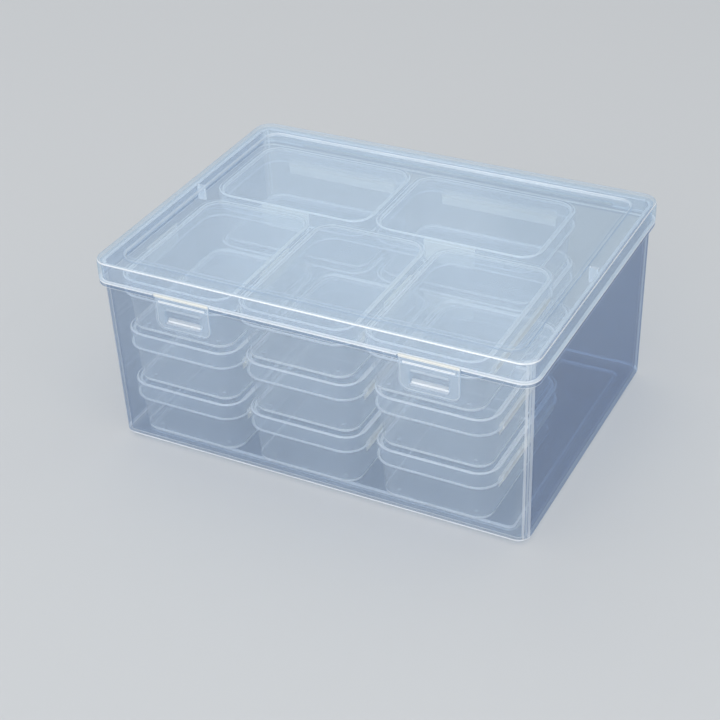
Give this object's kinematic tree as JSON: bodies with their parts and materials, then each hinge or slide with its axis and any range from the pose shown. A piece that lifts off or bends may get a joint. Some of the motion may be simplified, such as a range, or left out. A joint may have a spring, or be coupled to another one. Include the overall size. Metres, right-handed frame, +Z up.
{
  "type": "compartment storage box",
  "caption": "Clear rectangular storage case with a rear-hinged lid and front flip latches, filled with stacked flip-top small boxes for beads, crafts and parts.",
  "frame": {"origin": "centre of the footprint on the surface that the case stands on", "axes": "+X along the long front side from left to right, +Y from the latches to the hinge at the back, +Z up"},
  "size_m": [0.17, 0.125, 0.077],
  "materials": {
    "case": "clear polypropylene, smooth and slightly hazy",
    "case_lid": "clear polypropylene, smooth and slightly hazy",
    "latch": "clear polypropylene, smooth",
    "box": "clear polypropylene, slightly hazy",
    "box_lid": "clear polypropylene, slightly hazy"
  },
  "bodies": {
    "case": {"case_base": "case", "front_left_low_base": "box", "front_left_low_lid": "box_lid", "front_left_middle_base": "box", "front_left_middle_lid": "box_lid", "front_left_top_base": "box", "front_left_top_lid": "box_lid", "front_middle_low_base": "box", "front_middle_low_lid": "box_lid", "front_middle_middle_base": "box", "front_middle_middle_lid": "box_lid", "front_middle_top_base": "box", "front_middle_top_lid": "box_lid", "front_right_low_base": "box", "front_right_low_lid": "box_lid", "front_right_middle_base": "box", "front_right_middle_lid": "box_lid", "front_right_top_base": "box", "rear_left_low_base": "box", "rear_left_low_lid": "box_lid", "rear_left_middle_base": "box", "rear_left_middle_lid": "box_lid", "rear_left_top_base": "box", "rear_left_top_lid": "box_lid", "rear_right_low_base": "box", "rear_right_low_lid": "box_lid", "rear_right_middle_base": "box", "rear_right_middle_lid": "box_lid", "rear_right_top_base": "box", "rear_right_top_lid": "box_lid"},
    "lid": {"case_lid": "case_lid"},
    "left_latch": {"left_latch": "latch"},
    "right_latch": {"right_latch": "latch"},
    "small_lid": {"front_right_top_lid": "box_lid"}
  },
  "joints": [
    {"name": "lid_open", "type": "hinge", "parent": "case", "child": "lid", "pos_m": [0, 0.0626, 0.0698], "axis": [-1, 0, 0], "range_deg": [0, 105]},
    {"name": "left_latch_flip", "type": "hinge", "parent": "lid", "child": "left_latch", "pos_m": [-0.0477, -0.0626, 0.06885], "axis": [-1, 0, 0], "range_deg": [0, 135]},
    {"name": "right_latch_flip", "type": "hinge", "parent": "lid", "child": "right_latch", "pos_m": [0.0477, -0.0626, 0.06885], "axis": [-1, 0, 0], "range_deg": [0, 135]},
    {"name": "small_lid_open", "type": "hinge", "parent": "case", "child": "small_lid", "pos_m": [0.066, -0.02425, 0.06235], "axis": [0, 1, 0], "range_deg": [0, 100]}
  ],
  "couplings": [
    {"joint": "small_lid_open", "follows": "lid_open", "ratio": 0.9504}
  ]
}
